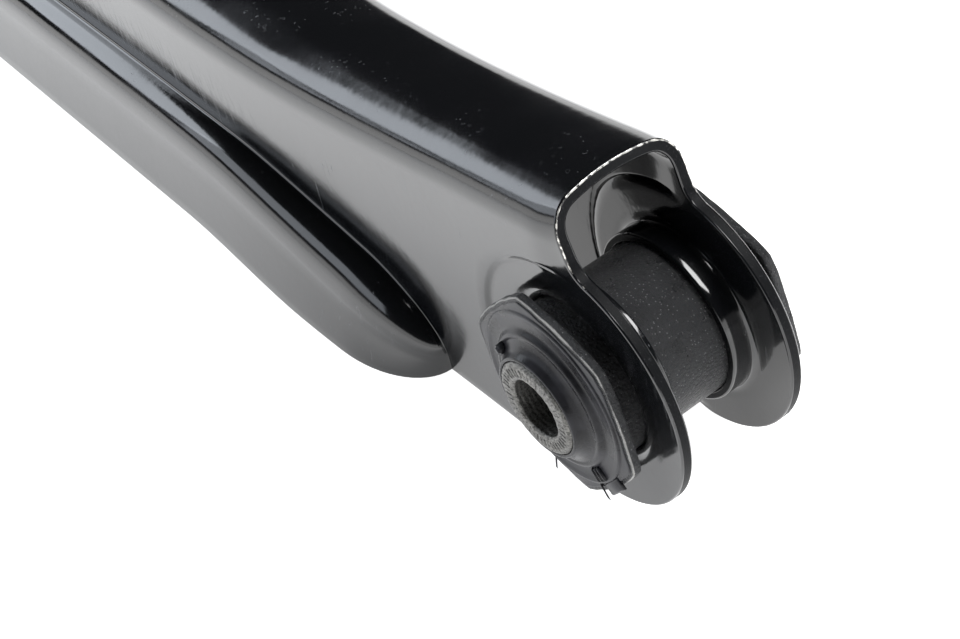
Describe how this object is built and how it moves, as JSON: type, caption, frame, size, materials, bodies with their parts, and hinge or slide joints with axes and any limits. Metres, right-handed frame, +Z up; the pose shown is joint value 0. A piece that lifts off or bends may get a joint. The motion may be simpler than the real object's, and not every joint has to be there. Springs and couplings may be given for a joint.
{
  "type": "control arm",
  "caption": "Pressed-steel suspension control arm: an open-bottomed channel with flared skirts, whose round ears hold flanged rubber bushes with steel inner sleeves for the pivot bolts.",
  "frame": {"origin": "middle of the front bush's bolt bore, halfway between its two ears", "axes": "+X out of the front end, the arm runs to -X; Y along both bush axes; +Z up through the closed web, the channel is open towards -Z"},
  "size_m": [0.436, 0.058, 0.0711],
  "materials": {
    "gloss_black_paint": "gloss black electrocoat on pressed steel, lightly scratched",
    "rough_black_coat": "gritty black coating on steel, worn to grey on the flange edges",
    "bush_rubber": "moulded black rubber, satin",
    "bare_steel": "turned and serrated steel, dull grey"
  },
  "bodies": {
    "arm": {"arm_pressing": "gloss_black_paint", "front_outer_sleeve": "rough_black_coat", "front_end_plate": "rough_black_coat", "front_rubber": "bush_rubber", "rear_outer_sleeve": "rough_black_coat", "rear_end_plate": "rough_black_coat", "rear_rubber": "bush_rubber"},
    "front_inner": {"front_inner_sleeve": "bare_steel"},
    "rear_inner": {"rear_inner_sleeve": "bare_steel"}
  },
  "joints": [
    {"name": "front_twist", "type": "hinge", "parent": "arm", "child": "front_inner", "pos_m": [0, 0, 0], "axis": [0, 1, 0], "range_deg": [-20, 20], "stiffness_Nm_per_rad": 60},
    {"name": "rear_twist", "type": "hinge", "parent": "arm", "child": "rear_inner", "pos_m": [-0.38, 0, 0], "axis": [0, 1, 0], "range_deg": [-20, 20], "stiffness_Nm_per_rad": 60}
  ]
}
